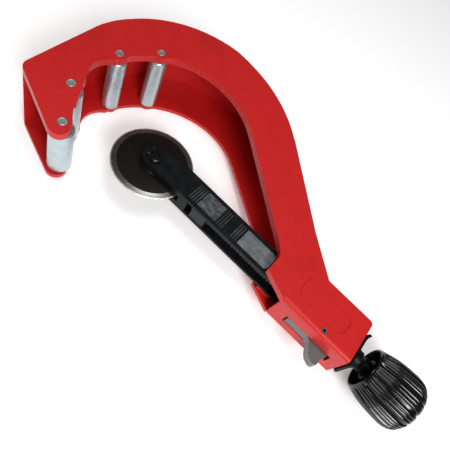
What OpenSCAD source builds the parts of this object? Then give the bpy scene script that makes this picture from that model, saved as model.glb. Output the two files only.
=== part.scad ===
// Telescopic pipe cutter with four guide rollers, a sliding feed bar and a quick-release half-nut.
// The tool lies flat on the broad side of its hooked frame. The bar slides along X, towards +X to open.
// Cutter coordinates have the wheel's axle at x = 0, y = 0 and the frame's mid-plane at z = 0.

/* [Frame] */
// Overall width of the frame at the rollers, mm
frame_w = 60; // [50:0.5:70]
// Overall width of the frame at the handle, mm
handle_w = 31.6; // [28:0.2:40]
// Thickness of the front side plate, mm
front_t = 5.8; // [4:0.1:6.5]
// Thickness of the back side plate, mm
back_t = 3.4; // [3:0.1:5]
// Thickness of the outer web that joins the plates, mm
web_t = 4.5; // [3:0.1:6]
// X of the open end of the handle, mm
handle_end = 198; // [190:1:210]
// Y of the handle's upper edge, mm
handle_top = 22.5; // [18:0.5:28]
// Y of the handle's underside, mm
handle_bottom = -16; // [-20:0.5:-14]

/* [Rollers] */
// Diameter of the two hook rollers, mm
hook_roller_d = 17.6; // [14:0.2:20]
// Diameter of the two crown rollers, mm
crown_roller_d = 14; // [12:0.2:18]
// Diameter of the roller pins, mm
pin_d = 6.8; // [5:0.1:8]

/* [Cutting wheel] */
// Diameter of the cutting wheel, mm
wheel_d = 63.2; // [55:0.2:70]
// Thickness of the wheel's disc, mm
wheel_t = 1.6; // [1:0.1:2.5]
// Diameter of the wheel's hub, mm
wheel_hub_d = 21; // [16:0.5:24]
// Diameter of the axle screw's shank, mm
axle_d = 7; // [5:0.1:8]

/* [Feed bar] */
// Thickness of the feed bar, mm
bar_w = 17.2; // [15:0.1:20]
// Y of the bar's upper face, mm
bar_top = 13.8; // [11:0.1:16]
// Y of the bar's lower face, mm
bar_bottom = -8.1; // [-10:0.1:-7]
// Width of the channel along the bar's underside, mm
channel_w = 12.4; // [11:0.1:13]
// X where the channel starts, mm
channel_start = 41.5; // [38:0.5:45]

/* [Spindle and knob] */
// Outside diameter of the spindle, mm
spindle_d = 10; // [8:0.1:11]
// Diameter of the spindle's nose and rear journal, mm
journal_d = 7; // [5:0.1:8]
// X of the knob's open rim, mm
knob_start = 214.8; // [210:0.1:220]
// Largest diameter over the knob's grip lobes, mm
knob_d = 44.4; // [38:0.2:46]
// Number of grip lobes round the knob
knob_ribs = 12; // [8:1:18]

/* [Release lever] */
// X of the lever's pivot, mm
pivot_x = 171.9; // [168:0.1:176]
// Y of the lever's pivot, mm
pivot_y = -11.5; // [-12:0.1:-11]
// Thickness of the lever, mm
lever_t = 7.2; // [5:0.1:8]
// Offset of the lever and its slot from the mid-plane, mm
lever_z = -1.6; // [-2:0.1:0]
// Diameter of the lever's pivot pin, mm
lever_pin_d = 4.4; // [3:0.1:5]

/* [Hidden] */
$fn = 96;
eps = 0.02;
// Taper of the frame: its width falls along this direction, from taper_a to taper_b.
taper_dir = -20.4;
taper_a = -66.9;
taper_b = 100.2;
// Roller centres, from the hook's tip round to the crown.
tip_pos = [-49.31, -43.66];
hook_pos = [-69.73, -18.61];
left_pos = [-73.40, 30.06];
top_pos = [-58.05, 59.72];
// Rounded end of the hook, and its rounded outer corner.
tip_c = [-48.5, -47.1];
tip_r = 7.7;
corner_c = [-90.9, -30.4];
corner_r = 8;
// Centre and radius of the rounding at the frame's far left.
side_c = [-26.4, 34.2];
side_r = 75.4;
// Radii of the bosses round the hook and crown pins.
hook_boss = 7;
left_boss = 6.2;
top_boss = 6.2;
// Radius of the throat round the pipe.
throat_r = 65.6;
// Centre of the largest pipe, which touches all four rollers.
pipe_c = [-4.9, 13.4];
// Centres of the frame's outer arcs and of the upper inner arc.
arc_l = [-11.9, 34.2];
arc_l_r = 88.9;
arc_r = [-6.5, 15.9];
arc_r_r = 107.2;
arc_i = [-3.3, 17.7];
arc_i_r = 64.3;
// Pocket between the hook and the crown rollers.
pocket_c = [-54.8, 8.6];
pocket_r = 20.4;
// The box's centre in cutter coordinates, which becomes the part's origin.
x_low = -101.8;
knob_end = knob_start + 43.7;
y_low = tip_c[1] - tip_r;
y_high = arc_l[1] + arc_l_r;
fit = 0.02;
run = 0.05;

// Half of the frame's width at a point, plus an optional distance further down the taper.
function along(p, more) = p[0] * cos(taper_dir) + p[1] * sin(taper_dir) + more;
function half_at(p, more) =
    let (u = max(taper_a, min(taper_b, along(p, more))))
    (frame_w + (handle_w - frame_w) * (u - taper_a) / (taper_b - taper_a)) / 2;

module place() {
    translate([-(x_low + knob_end) / 2, -(y_low + y_high) / 2, frame_w / 2])
        children();
}

module at_xy(p) {
    translate([p[0], p[1], 0])
        children();
}

// Turns a shape drawn along Z so that it lies along +X from the given x, on the spindle's axis.
module along_x(x) {
    translate([x, 0, 0])
        rotate([0, 90, 0])
            children();
}

// ---------- frame ----------

// Solid between the frame's two side faces, thinner by front and back on those sides.
module side_profile(front, back) {
    a = frame_w / 2;
    b = handle_w / 2;
    rotate([0, 0, taper_dir])
        rotate([90, 0, 0])
            linear_extrude(height = 520, center = true)
                polygon([[-200, a - front], [taper_a, a - front], [taper_b, b - front], [340, b - front],
                         [340, back - b], [taper_b, back - b], [taper_a, back - a], [-200, back - a]]);
}

// Outline of the frame without its throat, smaller by inset along the outer edge.
module outer_outline(inset) {
    intersection() {
        at_xy(arc_l)
            circle(r = arc_l_r - inset, $fn = 240);
        translate([-140, -60])
            square([131.5, 240]);
    }
    intersection() {
        at_xy(arc_r)
            circle(r = arc_r_r - inset, $fn = 240);
        translate([-9, -30])
            square([200, 240]);
    }
    polygon([[0, 0], [61.7 - inset * 0.64, 99 - inset * 0.77],
             [154.5 - inset * 0.35, handle_top - inset], [handle_end, handle_top - inset],
             [handle_end, handle_bottom], [137, handle_bottom], [116, -7]]);
    fillet_outline(inset);
    intersection() {
        at_xy(side_c)
            circle(r = side_r - inset, $fn = 240);
        translate([-140, 30])
            square([60, 60]);
    }
    at_xy(corner_c)
        circle(r = corner_r - inset);
    polygon([[corner_c[0] - corner_r + inset, corner_c[1]], [x_low + inset, side_c[1]], [-60, 60], [-60, -20],
             corner_c]);
}

// Concave fillet between the sloping back of the frame and the top of the handle.
module fillet_outline(inset) {
    difference() {
        polygon([[145, 30.4 - inset * 1.3], [154.5 - inset * 0.35, handle_top - inset],
                 [163.5, handle_top - inset], [154.5, handle_top - inset - 3]]);
        translate([163.6 - inset * 0.35, handle_top - inset + 25])
            circle(r = 25, $fn = 160);
    }
}

// Region removed for the pipe and the mouth of the handle.
module throat() {
    at_xy(pipe_c)
        circle(r = throat_r, $fn = 200);
    at_xy(arc_i)
        circle(r = arc_i_r, $fn = 200);
    at_xy(pocket_c)
        circle(r = pocket_r);
    polygon([[0, 40], [35.0, 69.5], [108.5, 16.6], [113.5, 12.2], [116, 7], [116, -7],
             [137, handle_bottom], [137, -90], [-50, -90], [-50, -30]]);
}

// The hook's arm: its inner edge follows the largest pipe, and stands nearer to it round the hook's upper pin.
module hook_outline() {
    difference() {
        polygon([corner_c, [-93.8, -37.9], [-51.3, -54.3], [-43, -41.7], [-50, -31], [-56, -20],
                 [-61, -15.6], [-67, -11.4], [-76, -6]]);
        at_xy(pipe_c)
            circle(r = throat_r - 1.2, $fn = 200);
        intersection() {
            at_xy(pipe_c)
                circle(r = throat_r + 0.2, $fn = 200);
            polygon([pipe_c, [-67.5, -36.4], [-30, -75], [10, -60]]);
        }
    }
}

module frame_outline() {
    difference() {
        outer_outline(0);
        throat();
        translate([handle_end - 3, handle_top - 3])
            difference() {
                square([4, 4]);
                circle(r = 3);
            }
    }
    hook_outline();
    at_xy(tip_c)
        circle(r = tip_r);
    at_xy(hook_pos)
        circle(r = hook_boss);
    at_xy(left_pos)
        circle(r = left_boss);
    at_xy(top_pos)
        circle(r = top_boss);
    boss_blend(left_pos, left_boss, pipe_c, throat_r, 12, 1);
    boss_blend(top_pos, top_boss, pipe_c, throat_r, 12, -1);
    boss_blend(top_pos, top_boss, arc_i, arc_i_r, 14, 1);
}

// Point at distance r1 from b and r2 from c, on the side of the line between them given by s.
function meet(b, r1, c, r2, s) =
    let (d = norm(c - b), a = (r1 * r1 - r2 * r2 + d * d) / (2 * d), h = sqrt(r1 * r1 - a * a))
    b + a * (c - b) / d + s * h * [-(c - b)[1], (c - b)[0]] / d;

// Fills the corner between a boss and a round opening with an arc of radius f, which crosses both a little.
module boss_blend(b, rb, c, rc, f, s) {
    m = meet(b, rb + f - 0.05, c, rc - f + 0.05, s);
    difference() {
        polygon([b, m, c + (m - c) * (rc + 0.4) / (rc - f)]);
        at_xy(m)
            circle(r = f);
    }
}

// Hollow between the plates, open towards the throat, the hook's lower edge and the handle's end.
module hollow_outline() {
    difference() {
        union() {
            outer_outline(web_t);
            polygon([[x_low + web_t, side_c[1]], [corner_c[0] - corner_r + web_t, -28], [-97, -60],
                     [-20, -70], [-20, 36]]);
            translate([100, handle_bottom - 5])
                square([handle_end - 99, 20]);
        }
        translate([137, handle_bottom - 10])
            square([90, 13]);
    }
}

module frame_shell() {
    difference() {
        intersection() {
            linear_extrude(height = frame_w + 2, center = true)
                frame_outline();
            side_profile(0, 0);
        }
        intersection() {
            linear_extrude(height = frame_w + 4, center = true)
                hollow_outline();
            side_profile(front_t, back_t);
        }
    }
}

// Pads inside the handle that guide the feed bar.
module guide_pads() {
    face = bar_w / 2 + 0.55;
    for (s = [-1, 1]) {
        inner = handle_w / 2 - (s > 0 ? front_t : back_t);
        for (x = [[120, 12], [183, 14.5]]) {
            translate([x[0], bar_bottom, s > 0 ? face : -inner - 0.5])
                cube([x[1], bar_top - bar_bottom, inner + 0.5 - face]);
        }
        for (x = [[138.5, 7], [191, 6.5]]) {
            translate([x[0], handle_bottom + 2.5, s > 0 ? 7 : -inner - 0.5])
                cube([x[1], bar_bottom - 0.3 - handle_bottom - 2.5, inner + 0.5 - 7]);
        }
    }
    for (x = [[123, 9], [183, 14.5]]) {
        translate([x[0], bar_top + 0.3, back_t - handle_w / 2 - 0.5])
            cube([x[1], handle_top - web_t - bar_top + 0.2, handle_w - front_t - back_t + 1]);
    }
}

// Outline of the label panel, smaller by inset.
module label_shape(inset) {
    x = 21.6 - inset;
    y = 9.8 - inset;
    polygon([[-x, -y + 4], [-x + 4, -y], [x - 4, -y], [x, -y + 4],
             [x, y - 4], [x - 4, y], [-x + 4, y], [-x, y - 4]]);
}

// Raised outline of a blank label panel.
module label_outline() {
    translate([163.6, 4.1, handle_w / 2 - 0.3])
        rotate([0, 0, -5.5])
            linear_extrude(height = 0.8)
                difference() {
                    label_shape(0);
                    label_shape(0.9);
                }
}

// Rounding of a long lower edge of the handle, on the front for s = 1 and on the back for s = -1.
module lower_edge_cut(s) {
    translate([137, handle_bottom, s * handle_w / 2])
        difference() {
            translate([0, -1, s > 0 ? -3 : -1])
                cube([70, 4, 4]);
            translate([-1, 3, -3 * s])
                rotate([0, 90, 0])
                    cylinder(r = 3, h = 80);
        }
}

module frame() {
    color([0.80, 0.06, 0.05])
        place()
            difference() {
                union() {
                    frame_shell();
                    guide_pads();
                    label_outline();
                }
                for (p = [tip_pos, hook_pos, left_pos, top_pos]) {
                    at_xy(p)
                        cylinder(r = pin_d / 2 + fit, h = frame_w + 4, center = true);
                }
                at_xy([pivot_x, pivot_y]) {
                    cylinder(r = lever_pin_d / 2 + fit, h = frame_w, center = true);
                    cylinder(r = 3.5, h = 17, center = true);
                }
                translate([148.5, handle_bottom - 1, lever_z - 4.2])
                    cube([41.5, 5, 8.4]);
                lower_edge_cut(1);
                lower_edge_cut(-1);
            }
}

// ---------- rollers and pins ----------

module roller(p, d) {
    h = half_at(p, d / 2);
    top = h - front_t - 0.35;
    low = back_t + 0.35 - h;
    color([0.80, 0.82, 0.84])
        place()
            at_xy(p)
                difference() {
                    union() {
                        translate([0, 0, low + 0.8])
                            cylinder(d = d, h = top - low - 1.6);
                        translate([0, 0, low])
                            cylinder(d = d - 1.6, h = top - low);
                    }
                    translate([0, 0, low - 1])
                        cylinder(r = pin_d / 2 + run, h = top - low + 2);
                }
}

module roller_tip() {
    roller(tip_pos, hook_roller_d);
}

module roller_hook() {
    roller(hook_pos, hook_roller_d);
}

module roller_left() {
    roller(left_pos, crown_roller_d);
}

module roller_top() {
    roller(top_pos, crown_roller_d);
}

module roller_pin(p) {
    h = min(half_at(p, 0) + 0.3, frame_w / 2);
    color([0.75, 0.76, 0.78])
        place()
            at_xy(p)
                union() {
                    cylinder(d = pin_d, h = 2 * h - 0.6, center = true);
                    cylinder(d = pin_d - 0.8, h = 2 * h, center = true);
                }
}

module pin_tip() {
    roller_pin(tip_pos);
}

module pin_hook() {
    roller_pin(hook_pos);
}

module pin_left() {
    roller_pin(left_pos);
}

module pin_top() {
    roller_pin(top_pos);
}

// ---------- feed bar and cutting wheel ----------

module bar_outline() {
    circle(r = 9.6);
    polygon([[-1.5, 9.4], [24, bar_top], [handle_end, bar_top], [handle_end, bar_bottom], [22, bar_bottom],
             [-1, -9.5]]);
}

module feed_bar() {
    color([0.07, 0.07, 0.08])
        place()
            difference() {
                union() {
                    linear_extrude(height = bar_w, center = true)
                        bar_outline();
                    for (s = [-1, 1]) {
                        for (x = [[40, 31], [80, 36]]) {
                            translate([x[0], -5.4, s * bar_w / 2 - 0.25])
                                cube([x[1], 16, 0.5]);
                        }
                    }
                }
                translate([-20, -20, -3.3])
                    cube([20 + wheel_d / 2 + 1.6, 45, 6.6]);
                translate([channel_start, bar_bottom - 1, -channel_w / 2])
                    cube([handle_end - channel_start + 1, 8.5 - bar_bottom, channel_w]);
                cylinder(r = axle_d / 2 + fit, h = bar_w + 2, center = true);
                translate([0, 0, -bar_w / 2 - 1])
                    cylinder(d = 14.2, h = 2.5);
                for (s = [-1, 1]) {
                    translate([handle_end - 14, 10.3, 5 * s])
                        rotate([0, 90, 0])
                            cylinder(r = 1.5 + fit, h = 15);
                }
            }
}

module cutting_wheel() {
    r = wheel_d / 2;
    color([0.23, 0.21, 0.20])
        place()
            rotate_extrude($fn = 180)
                polygon([[5 + fit, -2.9], [wheel_hub_d / 2 - 0.6, -2.9], [wheel_hub_d / 2, -2.3],
                         [wheel_hub_d / 2, -wheel_t / 2], [r - 4.5, -wheel_t / 2], [r, -0.08], [r, 0.08],
                         [r - 4.5, wheel_t / 2], [wheel_hub_d / 2, wheel_t / 2], [wheel_hub_d / 2, 2.3],
                         [wheel_hub_d / 2 - 0.6, 2.9], [5 + fit, 2.9]]);
}

module wheel_bush() {
    color([0.70, 0.52, 0.26])
        place()
            difference() {
                cylinder(r = 5, h = 6.0, center = true);
                cylinder(r = axle_d / 2 + run, h = 7, center = true);
            }
}

module axle_screw() {
    z = bar_w / 2 + 0.05;
    color([0.16, 0.16, 0.17])
        place()
            difference() {
                union() {
                    translate([0, 0, z])
                        cylinder(r = 6.2, h = 2.0);
                    translate([0, 0, z + 2.0])
                        cylinder(r1 = 6.2, r2 = 5.2, h = 0.8);
                    translate([0, 0, -10.9])
                        cylinder(d = axle_d, h = z + 10.9 + eps);
                }
                for (a = [20, 110]) {
                    rotate([0, 0, a])
                        translate([-3.6, -0.7, z + 1.1])
                            cube([7.2, 1.4, 3]);
                }
            }
}

module axle_nut() {
    color([0.20, 0.20, 0.21])
        place()
            translate([0, 0, -10.6])
                difference() {
                    cylinder(d = 12.7, h = 3.4, $fn = 6);
                    translate([0, 0, -1])
                        cylinder(r = axle_d / 2 + fit, h = 6);
                }
}

// ---------- thrust bearing and spindle ----------

module thrust_block() {
    color([0.32, 0.33, 0.35])
        place()
            difference() {
                translate([46.5, bar_bottom + 0.4, -channel_w / 2 + 0.04])
                    cube([13.5, 7.4 - bar_bottom - 0.4, channel_w - 0.08]);
                along_x(46)
                    cylinder(r = journal_d / 2 + run, h = 15);
            }
}

module thrust_washer() {
    color([0.70, 0.52, 0.26])
        place()
            along_x(60.1)
                difference() {
                    cylinder(r = 5.4, h = 1.2);
                    translate([0, 0, -1])
                        cylinder(r = journal_d / 2 + run, h = 4);
                }
}

module spindle_clip() {
    color([0.45, 0.46, 0.48])
        place()
            along_x(45.1)
                difference() {
                    cylinder(r = 5, h = 1);
                    translate([0, 0, -1])
                        cylinder(r = 2.6 + fit, h = 3);
                    translate([-6, -1.8, -1])
                        cube([6, 3.6, 3]);
                }
}

module spindle() {
    color([0.36, 0.37, 0.39])
        place()
            difference() {
                union() {
                    along_x(42.8)
                        cylinder(d = journal_d - 0.4, h = 2.2);
                    along_x(44.9)
                        cylinder(d = 5.2, h = 1.5);
                    along_x(46.2)
                        cylinder(d = journal_d, h = 15.4);
                    along_x(61.4)
                        cylinder(d = spindle_d, h = 134);
                    along_x(195.3)
                        cylinder(d = journal_d, h = 55);
                }
                translate([knob_start + 12, 0, 0])
                    rotate([90, 0, 0])
                        cylinder(r = 1.5 + fit, h = 20, center = true);
            }
}

// ---------- rear end guide ----------

module end_guide() {
    x = handle_end + 0.4;
    color([0.06, 0.06, 0.07])
        place()
            difference() {
                union() {
                    linear_extrude(height = 19, center = true)
                        polygon([[x, -9], [x, 13.5], [x + 2, 15.8], [x + 4.6, 18.6], [x + 6.6, 18.2],
                                 [x + 5, 15], [x + 4.4, 12], [x + 4.4, 6], [x + 4.4, -6], [x + 3.6, -10],
                                 [x + 4.2, -14.4], [x + 2.2, -14.4]]);
                    along_x(x)
                        cylinder(r = 7.5, h = 9.5);
                }
                along_x(x - 1)
                    cylinder(r = journal_d / 2 + run, h = 14);
                for (s = [-1, 1]) {
                    translate([x - 1, 10.3, 5 * s])
                        rotate([0, 90, 0]) {
                            cylinder(r = 1.5 + fit, h = 14);
                            translate([0, 0, 3.2])
                                cylinder(r = 2.9, h = 9);
                        }
                }
            }
}

module guide_screw(s) {
    x = handle_end + 2.6;
    color([0.55, 0.56, 0.58])
        place()
            translate([x, 10.3, 5 * s])
                rotate([0, 90, 0])
                    difference() {
                        union() {
                            cylinder(r = 2.7, h = 2.1);
                            translate([0, 0, -14.7])
                                cylinder(r = 1.5, h = 14.7 + eps);
                        }
                        translate([0, 0, 0.9])
                            cylinder(r = 1.4, h = 3, $fn = 6);
                    }
}

module guide_screw_front() {
    guide_screw(1);
}

module guide_screw_back() {
    guide_screw(-1);
}

// ---------- knob ----------

// Half section of the knob's outside, as [distance from the rim, radius], lower by drop.
module knob_section(drop) {
    r = knob_d / 2 - drop;
    polygon([[0, 0], [0, r - 4.8], [1, r - 4.3], [12.7, r - 1.4], [24.7, r - 0.2], [31, r], [37, r - 0.8],
             [40.5, r - 2.8], [42.5, r - 6.2], [42.5, 0]]);
}

// Side view of a groove between two grip lobes, from behind the rim out through the knob's far end.
module groove_section() {
    difference() {
        translate([3.5, 12])
            square([42, 16]);
        knob_section(1.4);
        translate([38, 0])
            square([10, knob_d / 2 - 7]);
    }
}

module knob() {
    color([0.03, 0.03, 0.035])
        place()
            along_x(knob_start)
                difference() {
                    rotate_extrude($fn = 120)
                        rotate([0, 0, 90])
                            mirror([0, 1, 0])
                                knob_section(0);
                    for (i = [0 : knob_ribs - 1]) {
                        rotate([0, 0, (i + 0.5) * 360 / knob_ribs])
                            rotate([0, -90, 0])
                                linear_extrude(height = 2.4, center = true)
                                    groove_section();
                    }
                    translate([0, 0, -1])
                        difference() {
                            cylinder(r1 = 15.1, r2 = 14, h = 16);
                            cylinder(r = 8.4, h = 18);
                        }
                    translate([0, 0, -1])
                        cylinder(r = 8.5, h = 3);
                    translate([0, 0, -1])
                        cylinder(r = 6.2 + fit, h = 31);
                    translate([0, 0, -1])
                        cylinder(r = journal_d / 2 + fit, h = 39);
                    translate([0, 0, 39.7])
                        cylinder(r = 11.9, h = 4);
                    translate([0, 0, 12])
                        rotate([90, 0, 0])
                            cylinder(r = 1.5 + fit, h = 24, center = true);
                }
}

module knob_insert() {
    color([0.62, 0.63, 0.65])
        place()
            along_x(knob_start - 4.2)
                difference() {
                    cylinder(r = 6.2, h = 33.8);
                    translate([0, 0, -1])
                        cylinder(r = journal_d / 2 + fit, h = 36);
                    translate([0, 0, 16.2])
                        rotate([90, 0, 0])
                            cylinder(r = 1.5 + fit, h = 20, center = true);
                }
}

module knob_cap() {
    color([0.04, 0.04, 0.045])
        place()
            along_x(knob_start + 39.75)
                rotate_extrude($fn = 96)
                    polygon([[0, 0], [11.85, 0], [11.85, 2.75], [10.6, 3.4], [7, 3.85], [3.5, 3.95], [0, 3.95]]);
}

module knob_pin() {
    color([0.60, 0.61, 0.63])
        place()
            translate([knob_start + 12, 0, 0])
                rotate([90, 0, 0])
                    cylinder(r = 1.5, h = 16.6, center = true);
}

// ---------- release lever ----------

module lever_outline() {
    polygon([[150, -15.7], [150, -12.4], [163, -12.4], [167, -8.2], [176, -8.2], [187, -12.6],
             [187.2, -17], [184, -28.2], [181.5, -29], [177, -27], [174.8, -24.4], [171.5, -17.6], [168, -15.7]]);
}

module release_lever() {
    color([0.45, 0.45, 0.46])
        place()
            translate([0, 0, lever_z])
                difference() {
                    linear_extrude(height = lever_t, center = true)
                        lever_outline();
                    at_xy([pivot_x, pivot_y])
                        cylinder(r = lever_pin_d / 2 + run, h = lever_t + 2, center = true);
                    translate([190.4, -24, 0])
                        cylinder(r = 5.8, h = lever_t + 2, center = true);
                }
}

module half_nut() {
    color([0.66, 0.50, 0.26])
        place()
            difference() {
                union() {
                    translate([153.8, -9.4, -5.8])
                        cube([9.2, 8, 11.6]);
                    translate([153.8, -12.35, lever_z - lever_t / 2])
                        cube([9.2, 4, lever_t]);
                }
                along_x(149)
                    cylinder(r = spindle_d / 2 + run, h = 15);
            }
}

module lever_pin() {
    color([0.35, 0.35, 0.36])
        place()
            at_xy([pivot_x, pivot_y])
                difference() {
                    cylinder(d = lever_pin_d, h = handle_w + 0.4, center = true);
                    cylinder(r = 1.1, h = handle_w + 2, center = true);
                }
}

// Close-wound torsion spring round the pivot pin, with one leg at each end.
module lever_spring() {
    color([0.70, 0.71, 0.73])
        place()
            at_xy([pivot_x, pivot_y]) {
                for (i = [0 : 4]) {
                    translate([0, 0, 2.7 + i * 0.78])
                        rotate_extrude()
                            translate([2.78, 0])
                                circle(r = 0.4, $fn = 24);
                }
                translate([0, 2.78, 2.7])
                    rotate([0, 90, 0])
                        cylinder(r = 0.4, h = 10, $fn = 24);
                translate([0, 2.78, 5.82])
                    rotate([0, -90, 0])
                        cylinder(r = 0.4, h = 8, $fn = 24);
            }
}

frame();
roller_tip();
roller_hook();
roller_left();
roller_top();
pin_tip();
pin_hook();
pin_left();
pin_top();
feed_bar();
cutting_wheel();
wheel_bush();
axle_screw();
axle_nut();
thrust_block();
thrust_washer();
spindle_clip();
spindle();
end_guide();
guide_screw_front();
guide_screw_back();
knob();
knob_insert();
knob_cap();
knob_pin();
release_lever();
half_nut();
lever_pin();
lever_spring();
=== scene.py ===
"""Looks of the telescopic pipe cutter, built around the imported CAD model."""

import math

import bpy
import numpy as np
from mathutils import Matrix, Vector


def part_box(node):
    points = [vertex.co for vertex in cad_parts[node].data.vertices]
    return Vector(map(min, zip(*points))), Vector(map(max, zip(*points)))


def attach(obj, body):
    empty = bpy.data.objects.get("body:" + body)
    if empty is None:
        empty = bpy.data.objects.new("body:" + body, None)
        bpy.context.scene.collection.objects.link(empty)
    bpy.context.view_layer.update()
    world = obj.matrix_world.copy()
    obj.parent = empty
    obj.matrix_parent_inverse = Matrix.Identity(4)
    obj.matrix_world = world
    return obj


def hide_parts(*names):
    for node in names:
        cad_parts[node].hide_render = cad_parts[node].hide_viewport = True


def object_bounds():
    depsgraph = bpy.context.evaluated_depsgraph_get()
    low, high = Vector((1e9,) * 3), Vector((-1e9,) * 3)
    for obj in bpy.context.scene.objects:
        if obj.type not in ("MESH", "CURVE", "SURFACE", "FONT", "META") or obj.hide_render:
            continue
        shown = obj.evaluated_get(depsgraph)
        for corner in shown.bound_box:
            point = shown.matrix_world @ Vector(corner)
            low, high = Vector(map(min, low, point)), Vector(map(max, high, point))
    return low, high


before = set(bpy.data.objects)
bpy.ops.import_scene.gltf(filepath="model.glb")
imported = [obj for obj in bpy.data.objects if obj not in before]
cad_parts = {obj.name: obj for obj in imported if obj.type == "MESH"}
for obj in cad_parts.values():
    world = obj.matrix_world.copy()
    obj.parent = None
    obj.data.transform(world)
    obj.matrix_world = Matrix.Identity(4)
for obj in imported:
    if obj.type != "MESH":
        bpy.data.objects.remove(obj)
CAD_LOW, CAD_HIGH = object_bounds()

MM = 0.001
low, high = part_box("cutting_wheel")
AXLE = (low + high) / 2  # the wheel's centre, from which the pieces' places are given in millimetres


def at(x, y, z):
    """A point given in millimetres from the wheel's centre, in the row frame."""
    return AXLE + Vector((x, y, z)) * MM


# ---------- materials ----------

NOISE_LOW, NOISE_HIGH = 0.3, 0.7  # most of a noise texture's values lie between these
COAT_ROUGHNESS = 0.22


def new_material(name):
    m = bpy.data.materials.new(name)
    m.use_nodes = True
    tree = m.node_tree
    shader = tree.nodes["Principled BSDF"]
    return m, tree, shader


def noise_node(tree, coords, scale, detail, roughness, stretch=None):
    node = tree.nodes.new("ShaderNodeTexNoise")
    node.inputs["Scale"].default_value = scale
    node.inputs["Detail"].default_value = detail
    node.inputs["Roughness"].default_value = roughness
    if stretch:
        mapping = tree.nodes.new("ShaderNodeMapping")
        mapping.inputs["Scale"].default_value = stretch
        tree.links.new(coords, mapping.inputs["Vector"])
        coords = mapping.outputs["Vector"]
    tree.links.new(coords, node.inputs["Vector"])
    return node.outputs["Fac"]


def ramp_node(tree, fac, stops):
    node = tree.nodes.new("ShaderNodeValToRGB")
    ramp = node.color_ramp
    ramp.elements[0].position, ramp.elements[0].color = stops[0][0], (*stops[0][1], 1)
    ramp.elements[1].position, ramp.elements[1].color = stops[-1][0], (*stops[-1][1], 1)
    for position, colour in stops[1:-1]:
        ramp.elements.new(position).color = (*colour, 1)
    tree.links.new(fac, node.inputs["Fac"])
    return node.outputs["Color"]


def range_node(tree, fac, low, high):
    node = tree.nodes.new("ShaderNodeMapRange")
    node.inputs["From Min"].default_value = NOISE_LOW
    node.inputs["From Max"].default_value = NOISE_HIGH
    node.inputs["To Min"].default_value = low
    node.inputs["To Max"].default_value = high
    tree.links.new(fac, node.inputs["Value"])
    return node.outputs["Result"]


def bump_node(tree, height, distance, strength, normal=None):
    node = tree.nodes.new("ShaderNodeBump")
    node.inputs["Distance"].default_value = distance
    node.inputs["Strength"].default_value = strength
    tree.links.new(height, node.inputs["Height"])
    if normal is not None:
        tree.links.new(normal, node.inputs["Normal"])
    return node.outputs["Normal"]


def surface(name, colours, metallic, rough, mottle=70, grain=None, lines=None, coat=0.0,
            stretch=None, specular=0.5):
    """A material whose colour and roughness vary with noise.

    colours are spread over the noise from low to high, rough is the range of the roughness and mottle
    the scale of the blotches. grain is (scale, depth in metres, strength) of a fine cast texture, and
    lines is (scale, stretch of each axis, depth in metres, strength) of turned or drawn lines."""
    m, tree, shader = new_material(name)
    coords = tree.nodes.new("ShaderNodeTexCoord").outputs["Object"]
    blotch = noise_node(tree, coords, mottle, 5.0, 0.6, stretch)
    gap = (NOISE_HIGH - NOISE_LOW) / (len(colours) - 1)
    stops = [(NOISE_LOW + gap * i, c) for i, c in enumerate(colours)]
    tree.links.new(ramp_node(tree, blotch, stops), shader.inputs["Base Color"])
    fine = noise_node(tree, coords, mottle * 6, 4.0, 0.6, stretch)
    tree.links.new(range_node(tree, fine, *rough), shader.inputs["Roughness"])
    shader.inputs["Metallic"].default_value = metallic
    shader.inputs["Specular IOR Level"].default_value = specular
    if coat:
        shader.inputs["Coat Weight"].default_value = coat
        shader.inputs["Coat Roughness"].default_value = COAT_ROUGHNESS
    normal = None
    if grain:
        scale, distance, strength = grain
        normal = bump_node(tree, noise_node(tree, coords, scale, 6.0, 0.62), distance, strength)
    if lines:
        scale, direction, distance, strength = lines
        streaks = noise_node(tree, coords, scale, 3.0, 0.5, direction)
        normal = bump_node(tree, streaks, distance, strength, normal)
    if normal is not None:
        tree.links.new(normal, shader.inputs["Normal"])
    return m


RED = surface(
    "red_paint",
    colours=[(0.47, 0.0105, 0.0105), (0.53, 0.0130, 0.0125), (0.50, 0.0115, 0.0110)],
    metallic=0.0, rough=(0.36, 0.48), mottle=45, grain=(750, 0.0005, 0.42), coat=0.28,
    specular=0.20,
)
CAST_BLACK = surface(
    "cast_black",
    colours=[(0.0030, 0.0034, 0.0038), (0.0055, 0.0062, 0.0068), (0.010, 0.0112, 0.012)],
    metallic=0.0, rough=(0.30, 0.46), mottle=160, grain=(1300, 0.0003, 0.30), specular=0.12,
)
WORN_BLACK = surface(
    "worn_black",
    colours=[(0.062, 0.072, 0.077), (0.128, 0.146, 0.153), (0.210, 0.236, 0.244)],
    metallic=0.25, rough=(0.34, 0.50), mottle=130, grain=(1700, 0.0004, 0.5),
    lines=(420, (0.25, 1.6, 1), 0.0003, 0.40), specular=0.4,
)
WORN_DARK = surface(
    "worn_dark",
    colours=[(0.016, 0.018, 0.019), (0.060, 0.068, 0.072), (0.170, 0.190, 0.197)],
    metallic=0.25, rough=(0.30, 0.46), mottle=210, grain=(1700, 0.0004, 0.5),
    lines=(420, (0.25, 1.6, 1), 0.0004, 0.55), stretch=(0.7, 1.5, 1),
)
RIB_BLACK = surface(
    "rib_black",
    colours=[(0.014, 0.016, 0.017), (0.045, 0.051, 0.054), (0.085, 0.096, 0.100)],
    metallic=0.2, rough=(0.32, 0.46), mottle=150, grain=(1700, 0.0004, 0.5), specular=0.35,
)
ZINC = surface(
    "zinc_roller",
    colours=[(0.38, 0.45, 0.485), (0.50, 0.575, 0.605), (0.44, 0.51, 0.54)],
    metallic=0.80, rough=(0.24, 0.36), mottle=55, grain=(1500, 0.0001, 0.12),
    lines=(260, (1, 1, 7), 0.0002, 0.12),
)
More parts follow.
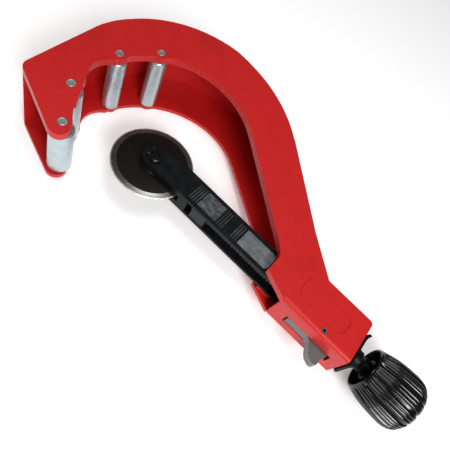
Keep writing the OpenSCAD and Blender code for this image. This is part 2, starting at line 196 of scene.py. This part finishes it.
PIN_STEEL = surface(
    "pin_steel",
    colours=[(0.26, 0.30, 0.30), (0.40, 0.44, 0.44), (0.33, 0.37, 0.37)],
    metallic=0.80, rough=(0.36, 0.54), mottle=260, grain=(2200, 0.0002, 0.40),
)
WHEEL_DARK = surface(
    "wheel_dark",
    colours=[(0.0050, 0.0038, 0.0032), (0.0085, 0.0062, 0.0054), (0.0068, 0.0050, 0.0044)],
    metallic=0.20, rough=(0.34, 0.46), mottle=60, grain=(1900, 0.0001, 0.15), specular=0.18,
)
WHEEL_EDGE = surface(
    "wheel_edge",
    colours=[(0.13, 0.13, 0.125), (0.20, 0.20, 0.19), (0.16, 0.16, 0.155)],
    metallic=0.95, rough=(0.20, 0.30), mottle=110, grain=(1900, 0.0001, 0.04),
)
WHEEL_RIM = surface(
    "wheel_rim",
    colours=[(0.52, 0.52, 0.50), (0.68, 0.68, 0.65)],
    metallic=0.95, rough=(0.22, 0.36), mottle=90, grain=(1900, 0.0001, 0.04),
)
SCREW_BLACK = surface(
    "screw_black",
    colours=[(0.014, 0.014, 0.015), (0.024, 0.024, 0.025)],
    metallic=0.75, rough=(0.16, 0.30), mottle=200, grain=(2200, 0.0002, 0.2),
)
SPINDLE_STEEL = surface(
    "spindle_steel",
    colours=[(0.012, 0.014, 0.015), (0.034, 0.038, 0.040), (0.022, 0.025, 0.027)],
    metallic=0.70, rough=(0.28, 0.46), mottle=160, grain=(1900, 0.0002, 0.25),
)
LEVER_STEEL = surface(
    "lever_steel",
    colours=[(0.085, 0.100, 0.102), (0.165, 0.178, 0.178), (0.120, 0.135, 0.137)],
    metallic=0.70, rough=(0.34, 0.50), mottle=90, grain=(1500, 0.0003, 0.30),
    lines=(300, (1, 1, 6), 0.0002, 0.25),
)
BLOCK_STEEL = surface(
    "block_steel",
    colours=[(0.008, 0.010, 0.011), (0.018, 0.021, 0.023)],
    metallic=0.20, rough=(0.40, 0.56), mottle=120, grain=(1500, 0.0003, 0.35), specular=0.3,
)
BRONZE = surface(
    "bearing_bronze",
    colours=[(0.10, 0.070, 0.034), (0.16, 0.110, 0.052)],
    metallic=0.95, rough=(0.28, 0.44), mottle=120, grain=(1900, 0.0002, 0.2),
)
BRIGHT_STEEL = surface(
    "bright_steel",
    colours=[(0.30, 0.31, 0.32), (0.44, 0.45, 0.46)],
    metallic=0.95, rough=(0.24, 0.40), mottle=150, grain=(2100, 0.0001, 0.2),
)
DARK_STEEL = surface(
    "dark_steel",
    colours=[(0.010, 0.011, 0.012), (0.022, 0.023, 0.024)],
    metallic=0.60, rough=(0.26, 0.42), mottle=150, grain=(2100, 0.0001, 0.2),
)
PLASTIC = surface(
    "black_plastic",
    colours=[(0.0012, 0.0013, 0.0015), (0.0022, 0.0023, 0.0026)],
    metallic=0.0, rough=(0.10, 0.17), mottle=90, grain=(1700, 0.0002, 0.04), specular=0.5,
)
PLASTIC_SATIN = surface(
    "satin_plastic",
    colours=[(0.0016, 0.0017, 0.0019), (0.0030, 0.0031, 0.0034)],
    metallic=0.0, rough=(0.34, 0.48), mottle=120, grain=(1700, 0.0003, 0.20), specular=0.12,
)


# ---------- mesh helpers ----------


def add_object(name, vertices, faces, materials, body, slot, face_materials=None, angle=32):
    """A smooth-shaded mesh object that rides on a body. Its place is in its vertices."""
    mesh = bpy.data.meshes.new(name)
    mesh.from_pydata([tuple(v) for v in vertices], [], [tuple(int(i) for i in f) for f in faces])
    mesh.update()
    for m in materials:
        mesh.materials.append(m)
    if face_materials is not None:
        mesh.polygons.foreach_set("material_index", np.asarray(face_materials, np.int32))
    mesh.polygons.foreach_set("use_smooth", np.ones(len(mesh.polygons), bool))
    mesh.set_sharp_from_angle(angle=math.radians(angle))
    o = bpy.data.objects.new(name, mesh)
    bpy.context.scene.collection.objects.link(o)
    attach(o, body)
    return o


def rounded(profile, radius, steps=3, closed=True):
    """The profile with each corner turned into a small arc."""
    points, out = [np.array(p, float) for p in profile], []
    n = len(points)
    for i, p in enumerate(points):
        if not closed and i in (0, n - 1):
            out.append(p)
            continue
        a, b = points[i - 1] - p, points[(i + 1) % n] - p
        la, lb = np.linalg.norm(a), np.linalg.norm(b)
        cut = min(radius, la * 0.45, lb * 0.45)
        if cut < 1e-6:
            out.append(p)
            continue
        start, end = p + a / la * cut, p + b / lb * cut
        for k in range(steps + 1):
            t = k / steps
            out.append(start * (1 - t) ** 2 + 2 * p * t * (1 - t) + end * t**2)
    return out


AXES = {
    "x": (Vector((1, 0, 0)), Vector((0, 1, 0)), Vector((0, 0, 1))),
    "z": (Vector((0, 0, 1)), Vector((1, 0, 0)), Vector((0, 1, 0))),
}


def turned(name, profile, centre, axis, materials, body, slot, segments=96, closed=True, shape=None,
           pick=None, angle=32):
    """A turned piece: profile is [(distance along the axis, radius)] in millimetres, a closed loop or
    an open line that starts and ends on the axis. shape(along, radius, turn) may change a radius,
    and pick(i) chooses the material of the band after the profile's point i."""
    along, side, up = AXES[axis]
    c = at(*centre)
    rows = len(profile)
    poles = not closed
    vertices, faces, kinds = [], [], []
    index = []
    for i, (a, r) in enumerate(profile):
        if poles and i in (0, rows - 1):
            index.append([len(vertices)] * segments)
            vertices.append(c + along * a * MM)
            continue
        row = []
        for k in range(segments):
            turn = 2 * math.pi * k / segments
            rr = shape(a, r, turn) if shape else r
            row.append(len(vertices))
            across = side * (rr * math.cos(turn)) + up * (rr * math.sin(turn))
            vertices.append(c + (along * a + across) * MM)
        index.append(row)
    last = rows if closed else rows - 1
    for i in range(last):
        p, q = index[i], index[(i + 1) % rows]
        for k in range(segments):
            n = (k + 1) % segments
            loop = []
            for v in (p[k], p[n], q[n], q[k]):
                if v not in loop:
                    loop.append(v)
            faces.append(loop)
            kinds.append(pick(i) if pick else 0)
    return add_object(name, vertices, faces, materials, body, slot, kinds, angle)


def slab(name, outline, low_z, high_z, materials, body, slot, edge):
    """A plate with a bevelled edge: outline in the XY plane, counter-clockwise, between two heights."""
    points = np.array(outline, float)
    n = len(points)
    centre = points.mean(0)

    def inset(amount):
        out = []
        for i in range(n):
            a, b = points[i] - points[i - 1], points[(i + 1) % n] - points[i]
            na = np.array([-a[1], a[0]]) / np.linalg.norm(a)
            nb = np.array([-b[1], b[0]]) / np.linalg.norm(b)
            mid = (na + nb) / max(np.linalg.norm(na + nb) ** 2 / 2, 0.3)
            out.append(points[i] + mid * amount)
        return out

    top = inset(edge)
    rings = [(top, low_z), (points, low_z + edge), (points, high_z - edge), (top, high_z)]
    vertices = [at(p[0], p[1], z) for ring, z in rings for p in ring]
    faces = [[k * n + i, k * n + (i + 1) % n, (k + 1) * n + (i + 1) % n, (k + 1) * n + i]
             for k in range(3) for i in range(n)]
    for base, flip in ((0, True), (3 * n, False)):
        hub = len(vertices)
        z = low_z if flip else high_z
        vertices.append(at(centre[0], centre[1], z))
        for i in range(n):
            j = (i + 1) % n
            faces.append([base + j, base + i, hub] if flip else [base + i, base + j, hub])
    return add_object(name, vertices, faces, materials, body, slot, angle=40)


WELD_DISTANCE = 0.000004  # metres: joins the corners that the CAD mesh repeats
BEVEL_ANGLE = 34  # degrees: only edges sharper than this are rounded
NORMAL_WEIGHT = 80


def finish_node(name, material, bevel=0.0, segments=2):
    """Gives a CAD node its material, and real rounded edges by modifiers."""
    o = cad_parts[name]
    for s in o.material_slots:
        s.material = material
    if bevel:
        weld = o.modifiers.new("weld", "WELD")
        weld.merge_threshold = WELD_DISTANCE
        b = o.modifiers.new("edges", "BEVEL")
        b.width = bevel * MM
        b.segments = segments
        b.limit_method = "ANGLE"
        b.angle_limit = math.radians(BEVEL_ANGLE)
        b.use_clamp_overlap = True
        w = o.modifiers.new("normals", "WEIGHTED_NORMAL")
        w.mode = "FACE_AREA_WITH_ANGLE"
        w.weight = NORMAL_WEIGHT


# ---------- CAD nodes that keep their shape ----------

finish_node("frame", RED, 1.4, 3)
finish_node("feed_bar", CAST_BLACK, 0.5)
finish_node("axle_screw", SCREW_BLACK, 0.25)
finish_node("axle_nut", SCREW_BLACK, 0.35)
finish_node("thrust_block", BLOCK_STEEL, 0.4)
finish_node("end_guide", PLASTIC_SATIN, 0.6)
finish_node("guide_screw_front", SCREW_BLACK, 0.2)
finish_node("guide_screw_back", SCREW_BLACK, 0.2)
finish_node("release_lever", LEVER_STEEL, 0.7, 3)
finish_node("half_nut", BRONZE, 0.3)
finish_node("knob_pin", BRIGHT_STEEL)
finish_node("wheel_bush", BRONZE)
finish_node("thrust_washer", DARK_STEEL)
finish_node("spindle_clip", DARK_STEEL)
finish_node("knob_insert", PLASTIC_SATIN, 0.3)


# ---------- rollers and pins ----------


def node_place(name):
    """Half of a node's height along Z, its radius and its centre from the wheel's, in millimetres."""
    a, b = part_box(name)
    c = (a + b) / 2 - AXLE
    return (b.z - a.z) / 2 / MM, (b.x - a.x) / 2 / MM, (c.x / MM, c.y / MM, c.z / MM)


PIN_RADIUS = 3.4
BORE_GAP = 0.06
for place in ("tip", "hook", "left", "top"):
    half, radius, centre = node_place("roller_" + place)
    bore = PIN_RADIUS + BORE_GAP
    end = [(half, radius - 0.9), (half, radius - 1.3), (half - 0.5, radius - 1.8),
           (half - 0.5, bore + 1.2), (half, bore + 0.8), (half, bore)]
    barrel = [(-half + 0.9, radius), (half - 0.9, radius)]
    section = [(-a, r) for a, r in reversed(end)] + barrel + end
    piece = turned("roller_body_" + place, rounded(section, 0.35), centre, "z", [ZINC],
                   "roller_" + place, "zinc_steel")
    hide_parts("roller_" + place)

    half, radius, centre = node_place("pin_" + place)
    head = [(half - 0.5, radius), (half - 0.02, radius - 0.35), (half - 0.02, radius - 0.85),
            (half - 0.22, radius - 1.15), (half - 0.26, 0)]
    section = [(-a, r) for a, r in reversed(head)] + head
    piece = turned("pin_body_" + place, rounded(section, 0.2, closed=False), centre, "z", [PIN_STEEL],
                   "frame", "pin_steel", segments=64, closed=False)
    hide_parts("pin_" + place)


# ---------- cutting wheel ----------

WHEEL_RADIUS = 31.6
HUB_RADIUS = 10.5
DISC_HALF = 0.8
GRIND_RADIUS = 27.0  # the ground bevel lies outside this radius
BRIGHT_RADIUS = 30.4  # the bright rim lies outside this one
KNURLS = 36
side = [(2.9, 5.03), (2.9, 7.4), (2.75, 7.6), (2.75, 8.2), (2.9, 8.4), (2.9, HUB_RADIUS - 0.6),
        (2.3, HUB_RADIUS), (1.1, HUB_RADIUS), (DISC_HALF, HUB_RADIUS + 0.4), (DISC_HALF, GRIND_RADIUS - 0.1),
        (DISC_HALF - 0.04, GRIND_RADIUS + 0.1), (0.16, 30.6), (0.03, WHEEL_RADIUS)]
section = [(-a, r) for a, r in reversed(side)] + side
rows = len(section)


def wheel_face(i):
    """Ground bevel outside the disc's flat, bright at its very rim, and dark everywhere else."""
    inner = min(section[i][1], section[(i + 1) % rows][1])
    return 2 if inner > BRIGHT_RADIUS else 1 if inner > GRIND_RADIUS else 0


def hub_knurl(a, r, turn):
    """Fine flutes round the rim of the hub."""
    on_ring = HUB_RADIUS - 0.5 < r < HUB_RADIUS + 0.1
    return r + (0.05 * math.cos(turn * KNURLS) if on_ring else 0.0)


wheel = turned("wheel_disc", section, (0, 0, 0), "z", [WHEEL_DARK, WHEEL_EDGE, WHEEL_RIM], "wheel",
               "dark_steel", segments=288, shape=hub_knurl, pick=wheel_face, angle=20)
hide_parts("cutting_wheel")


# ---------- spindle and knob ----------

THREAD_PITCH = 3.0
THREAD_DEPTH = 0.62
THREAD_INSET = 0.02
THREAD_START, THREAD_END = 61.8, 195.2
THREAD_FADE = 2.5
THREAD_ROWS = 446  # rows of corners along the thread, about ten for each turn
SCREW_RADIUS = 5.0


def thread(a, r, turn):
    """Right-hand thread of rounded V form, faded out at both ends."""
    if r < SCREW_RADIUS - 0.01:
        return r
    phase = (a / THREAD_PITCH - turn / (2 * math.pi)) % 1.0
    wave = min(1.0, abs(phase - 0.5) * 2.6)
    from_end = min(a - THREAD_START, THREAD_END - a)
    fade = min(1.0, max(0.0, from_end / THREAD_FADE))
    return r - THREAD_DEPTH * (1 - wave) * fade - THREAD_INSET


wheel_end = [(42.8, 0), (42.8, 2.9), (43.2, 3.3), (44.95, 3.3), (45.0, 2.6), (46.2, 2.6), (46.3, 3.5),
             (61.4, 3.5), (61.45, 4.6)]
screw_part = [(61.7 + 133.4 * i / THREAD_ROWS, SCREW_RADIUS) for i in range(THREAD_ROWS + 1)]
knob_end = [(195.35, 4.6), (195.4, 3.5), (249.6, 3.5), (250.1, 3.1), (250.1, 0)]
spindle = turned("spindle_body", wheel_end + screw_part + knob_end, (0, 0, 0), "x", [SPINDLE_STEEL],
                 "screw", "grey_steel", segments=48, closed=False, shape=thread, angle=40)
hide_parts("spindle")

KNOB_START = 214.8
LOBES = 12
LOBE_SAMPLES = 60
KNOB_LENGTH = 42.5
CAP_SEAT = 39.75
LOBE_EDGE = 0.125  # share of a lobe, at each of its sides, that is groove
GROOVE_DEPTH = 1.5
RIDGE_DEPTH = 0.85
outside = [(0.0, 16.2), (0.1, 16.9), (0.5, 17.35), (1.4, 17.8), (4.0, 18.5), (8.0, 19.6),
           (12.7, 20.75), (18.0, 21.5), (24.7, 22.0), (31.0, 22.2), (34.5, 21.9), (37.5, 21.1),
           (39.5, 20.0), (41.0, 18.6), (41.9, 17.2), (42.4, 15.8), (KNOB_LENGTH, 14.6),
           (KNOB_LENGTH, 12.5), (42.4, 12.0)]
inside = [(CAP_SEAT, 11.92), (CAP_SEAT, 3.6), (30.0, 3.6), (30.0, 6.25), (2.3, 6.25), (2.0, 6.5),
          (2.0, 8.1), (2.3, 8.4), (15.0, 8.4), (15.0, 14.3), (1.0, 15.3), (0.3, 15.5)]


def ribbed(a, r, turn):
    """Twelve grip lobes of three rounded ridges each, on the outside of the knob only."""
    if r < 15.6 or a > KNOB_LENGTH - 0.05 or a < 0.05:
        return r
    phase = (turn / (2 * math.pi) * LOBES) % 1.0
    start = min(1.0, max(0.0, (a - 2.6) / 1.2))
    end = min(1.0, max(0.0, (42.0 - a) / 5.0))
    gap = min(phase, 1 - phase)
    deep = min(1.0, max(0.0, (LOBE_EDGE - gap) / 0.045))
    ridge_width = (1 - 2 * LOBE_EDGE) / 3
    ridge = abs(math.sin(math.pi * (phase - LOBE_EDGE) / ridge_width)) if gap > LOBE_EDGE else 0.0
    fine = (1 - deep) * (1 - ridge**0.7)
    return r - start * (GROOVE_DEPTH * deep + RIDGE_DEPTH * end * fine)


def knob_face(i):
    """Glossy outside, satin inside."""
    return int(i >= len(fine_outside))


fine_outside = []
for (a0, r0), (a1, r1) in zip(outside, outside[1:]):
    parts = max(1, int((a1 - a0) / 1.6))
    fine_outside += [(a0 + (a1 - a0) * k / parts, r0 + (r1 - r0) * k / parts)
                     for k in range(parts)]
fine_outside.append(outside[-1])
knob = turned("knob_shell", fine_outside + inside, (KNOB_START, 0, 0), "x", [PLASTIC, PLASTIC_SATIN],
              "screw", "knob_black", segments=LOBES * LOBE_SAMPLES, shape=ribbed, pick=knob_face,
              angle=30)
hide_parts("knob")


def cap_notches(a, r, turn):
    """Six small notches round the cap's raised ring."""
    if not 8.0 < r < 11.0 or a < 2.9:
        return r
    return r - 0.9 if math.cos(turn * 6) > 0.9 else r


section = [(0, 0), (0, 11.85), (2.55, 11.85), (3.0, 11.5), (3.4, 10.6), (3.5, 9.8), (3.35, 9.3),
           (3.3, 8.6), (3.6, 7.0), (3.9, 3.5), (3.95, 1.6), (3.7, 1.2), (3.7, 0)]
cap = turned("knob_end_cap", section, (KNOB_START + CAP_SEAT, 0, 0), "x", [PLASTIC], "screw",
             "knob_black", segments=120, closed=False, shape=cap_notches)
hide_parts("knob_cap")


# ---------- details of the feed bar ----------

BAR_FACE = 8.6
PANEL_LOW, PANEL_HIGH = -5.1, 10.3
PANEL_TOP, RIB_TOP = 0.42, 0.45  # how far the details stand off the bar's face
RIB_WIDTH = 1.0
RIB_STARTS = (38.6, 40.7, 42.8, 44.9, 66.6, 68.7, 70.8, 80.0, 82.1, 84.2)


def box_outline(x0, x1, y0, y1, r=0.0):
    """A rectangle, or one whose far end has rounded corners."""
    if r == 0:
        return [(x0, y0), (x1, y0), (x1, y1), (x0, y1)]
    out = [(x0, y0)]
    for cy, start in ((y0 + r, -90), (y1 - r, 0)):
        for k in range(7):
            turn = math.radians(start + 15 * k)
            out.append((x1 - r + r * math.cos(turn), cy + r * math.sin(turn)))
    return out + [(x0, y1)]


def raised(name, sign, outline, top, material, edge):
    """A raised detail on one side of the bar, starting just off its face."""
    low_z, high_z = sorted((sign * (BAR_FACE + 0.05), sign * (BAR_FACE + top)))
    slab(name, outline, low_z, high_z, [material], "feed", "black_cast", edge)


for side_name, sign in (("front", 1), ("back", -1)):
    panel_a = box_outline(47.0, 65.0, PANEL_LOW, PANEL_HIGH)
    raised(f"bar_panel_a_{side_name}", sign, panel_a, PANEL_TOP, WORN_DARK, 0.15)
    panel_b = box_outline(87.0, 115.6, PANEL_LOW, PANEL_HIGH, 3.5)
    raised(f"bar_panel_b_{side_name}", sign, panel_b, PANEL_TOP, WORN_BLACK, 0.15)
    for k, x in enumerate(RIB_STARTS):
        rib = box_outline(x, x + RIB_WIDTH, PANEL_LOW, PANEL_HIGH)
        raised(f"bar_rib_{k}_{side_name}", sign, rib, RIB_TOP, RIB_BLACK, 0.2)


# ---------- lever pin and spring ----------

pin_half, _, pin_centre = node_place("lever_pin")


def pin_face(i):
    """Bare steel on the flat ring at each end, black everywhere else."""
    return 0 if i in (0, 4) else 1


section = [(-pin_half, 1.1), (-pin_half, 2.0), (-pin_half + 0.25, 2.2), (pin_half - 0.25, 2.2),
           (pin_half, 2.0), (pin_half, 1.1)]
piece = turned("lever_pin_tube", section, pin_centre, "z", [LEVER_STEEL, SCREW_BLACK], "frame",
               "black_oxide", segments=48, pick=pin_face)
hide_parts("lever_pin")

PIVOT = (171.9, -11.5)
WIRE_RADIUS = 0.4
WIRE_SIDES = 10
COIL_RADIUS = 2.78
COIL_LOW, COIL_RISE = 2.7, 3.12
COIL_TURNS = 4.0
COIL_STEPS = 160
LONG_LEG, SHORT_LEG = 10.0, 8.0


def spring_path():
    """The wire's middle line from the pivot: one leg, the coil, and the other leg."""
    points = [Vector((LONG_LEG, COIL_RADIUS, COIL_LOW))]
    for k in range(COIL_STEPS + 1):
        turn = math.radians(90) + 2 * math.pi * COIL_TURNS * k / COIL_STEPS
        height = COIL_LOW + COIL_RISE * k / COIL_STEPS
        points.append(Vector((COIL_RADIUS * math.cos(turn), COIL_RADIUS * math.sin(turn), height)))
    points.append(Vector((-SHORT_LEG, COIL_RADIUS, COIL_LOW + COIL_RISE)))
    return points


def wire(points):
    """The corners and faces of a round wire along a middle line, closed at both ends."""
    vertices, faces = [], []
    for i, p in enumerate(points):
        ahead = (points[min(i + 1, len(points) - 1)] - points[max(i - 1, 0)]).normalized()
        u = ahead.cross(Vector((0, 0, 1))).normalized()
        w = u.cross(ahead)
        for k in range(WIRE_SIDES):
            t = 2 * math.pi * k / WIRE_SIDES
            q = p + u * (WIRE_RADIUS * math.cos(t)) + w * (WIRE_RADIUS * math.sin(t))
            vertices.append(at(PIVOT[0] + q.x, PIVOT[1] + q.y, q.z))
    for i in range(len(points) - 1):
        row, after = i * WIRE_SIDES, (i + 1) * WIRE_SIDES
        for k in range(WIRE_SIDES):
            n = (k + 1) % WIRE_SIDES
            faces.append([row + k, row + n, after + n, after + k])
    faces.append(list(range(WIRE_SIDES))[::-1])
    faces.append([(len(points) - 1) * WIRE_SIDES + k for k in range(WIRE_SIDES)])
    return vertices, faces


spring = add_object("lever_coil_spring", *wire(spring_path()), [BRIGHT_STEEL], "frame", "spring_steel")
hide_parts("lever_spring")


# ---------- floor, light and camera ----------

FLOOR_HALF = 3.0
floor_z = CAD_LOW.z - 0.0002
corners = [(x * FLOOR_HALF, y * FLOOR_HALF, floor_z) for x, y in ((-1, -1), (1, -1), (1, 1), (-1, 1))]
mesh = bpy.data.meshes.new("floor")
mesh.from_pydata(corners, [], [(0, 1, 2, 3)])
floor = bpy.data.objects.new("floor", mesh)
bpy.context.scene.collection.objects.link(floor)
floor_paint, _, shader = new_material("floor_paint")
shader.inputs["Base Color"].default_value = (0.96, 0.96, 0.96, 1)
shader.inputs["Roughness"].default_value = 0.9
shader.inputs["Specular IOR Level"].default_value = 0.1
shader.inputs["Emission Color"].default_value = (1, 1, 1, 1)
shader.inputs["Emission Strength"].default_value = 0.24
mesh.materials.append(floor_paint)

world = bpy.data.worlds.new("studio")
bpy.context.scene.world = world
world.use_nodes = True
background = world.node_tree.nodes["Background"]
background.inputs["Color"].default_value = (1, 1, 1, 1)
background.inputs["Strength"].default_value = 0.13


def lamp(name, place, target, size, power):
    """A square area light aimed at a point, both in metres in the row frame."""
    data = bpy.data.lights.new(name, "AREA")
    data.shape = "SQUARE"
    data.size = size
    data.energy = power
    o = bpy.data.objects.new(name, data)
    bpy.context.scene.collection.objects.link(o)
    o.location = place
    o.rotation_mode = "QUATERNION"
    o.rotation_quaternion = (Vector(target) - Vector(place)).to_track_quat("-Z", "Y")


lamp("key", (0.62, -0.60, 0.72), target=(0.02, -0.02, 0), size=0.42, power=10.6)
lamp("top", (0.02, 0.05, 1.25), target=(0, 0, 0), size=0.50, power=5.4)
lamp("side", (-1.00, -0.05, 0.40), target=(0, 0, 0.02), size=0.24, power=1.7)

CAMERA_PLACE = (94.348, -183.114, 277.045)
CAMERA_TURN = 6.915  # degrees about the vertical
CAMERA_TILT = 34.241  # degrees up from looking straight down
CAMERA_ROLL = 38.287  # degrees about its own line of sight

camera_data = bpy.data.cameras.new("camera")
camera_data.sensor_width = 36.0
camera_data.lens = 36.0
camera_data.shift_x = 0.0008
camera_data.shift_y = 0.0019
camera_data.clip_start, camera_data.clip_end = 0.01, 20.0
camera = bpy.data.objects.new("camera", camera_data)
bpy.context.scene.collection.objects.link(camera)
direction = (Matrix.Rotation(math.radians(CAMERA_TURN), 4, "Z")
             @ Matrix.Rotation(math.radians(CAMERA_TILT), 4, "X")
             @ Matrix.Rotation(math.radians(CAMERA_ROLL), 4, "Z"))
camera.matrix_world = Matrix.Translation(at(*CAMERA_PLACE)) @ direction
bpy.context.scene.camera = camera
bpy.context.scene.view_settings.view_transform = "Standard"
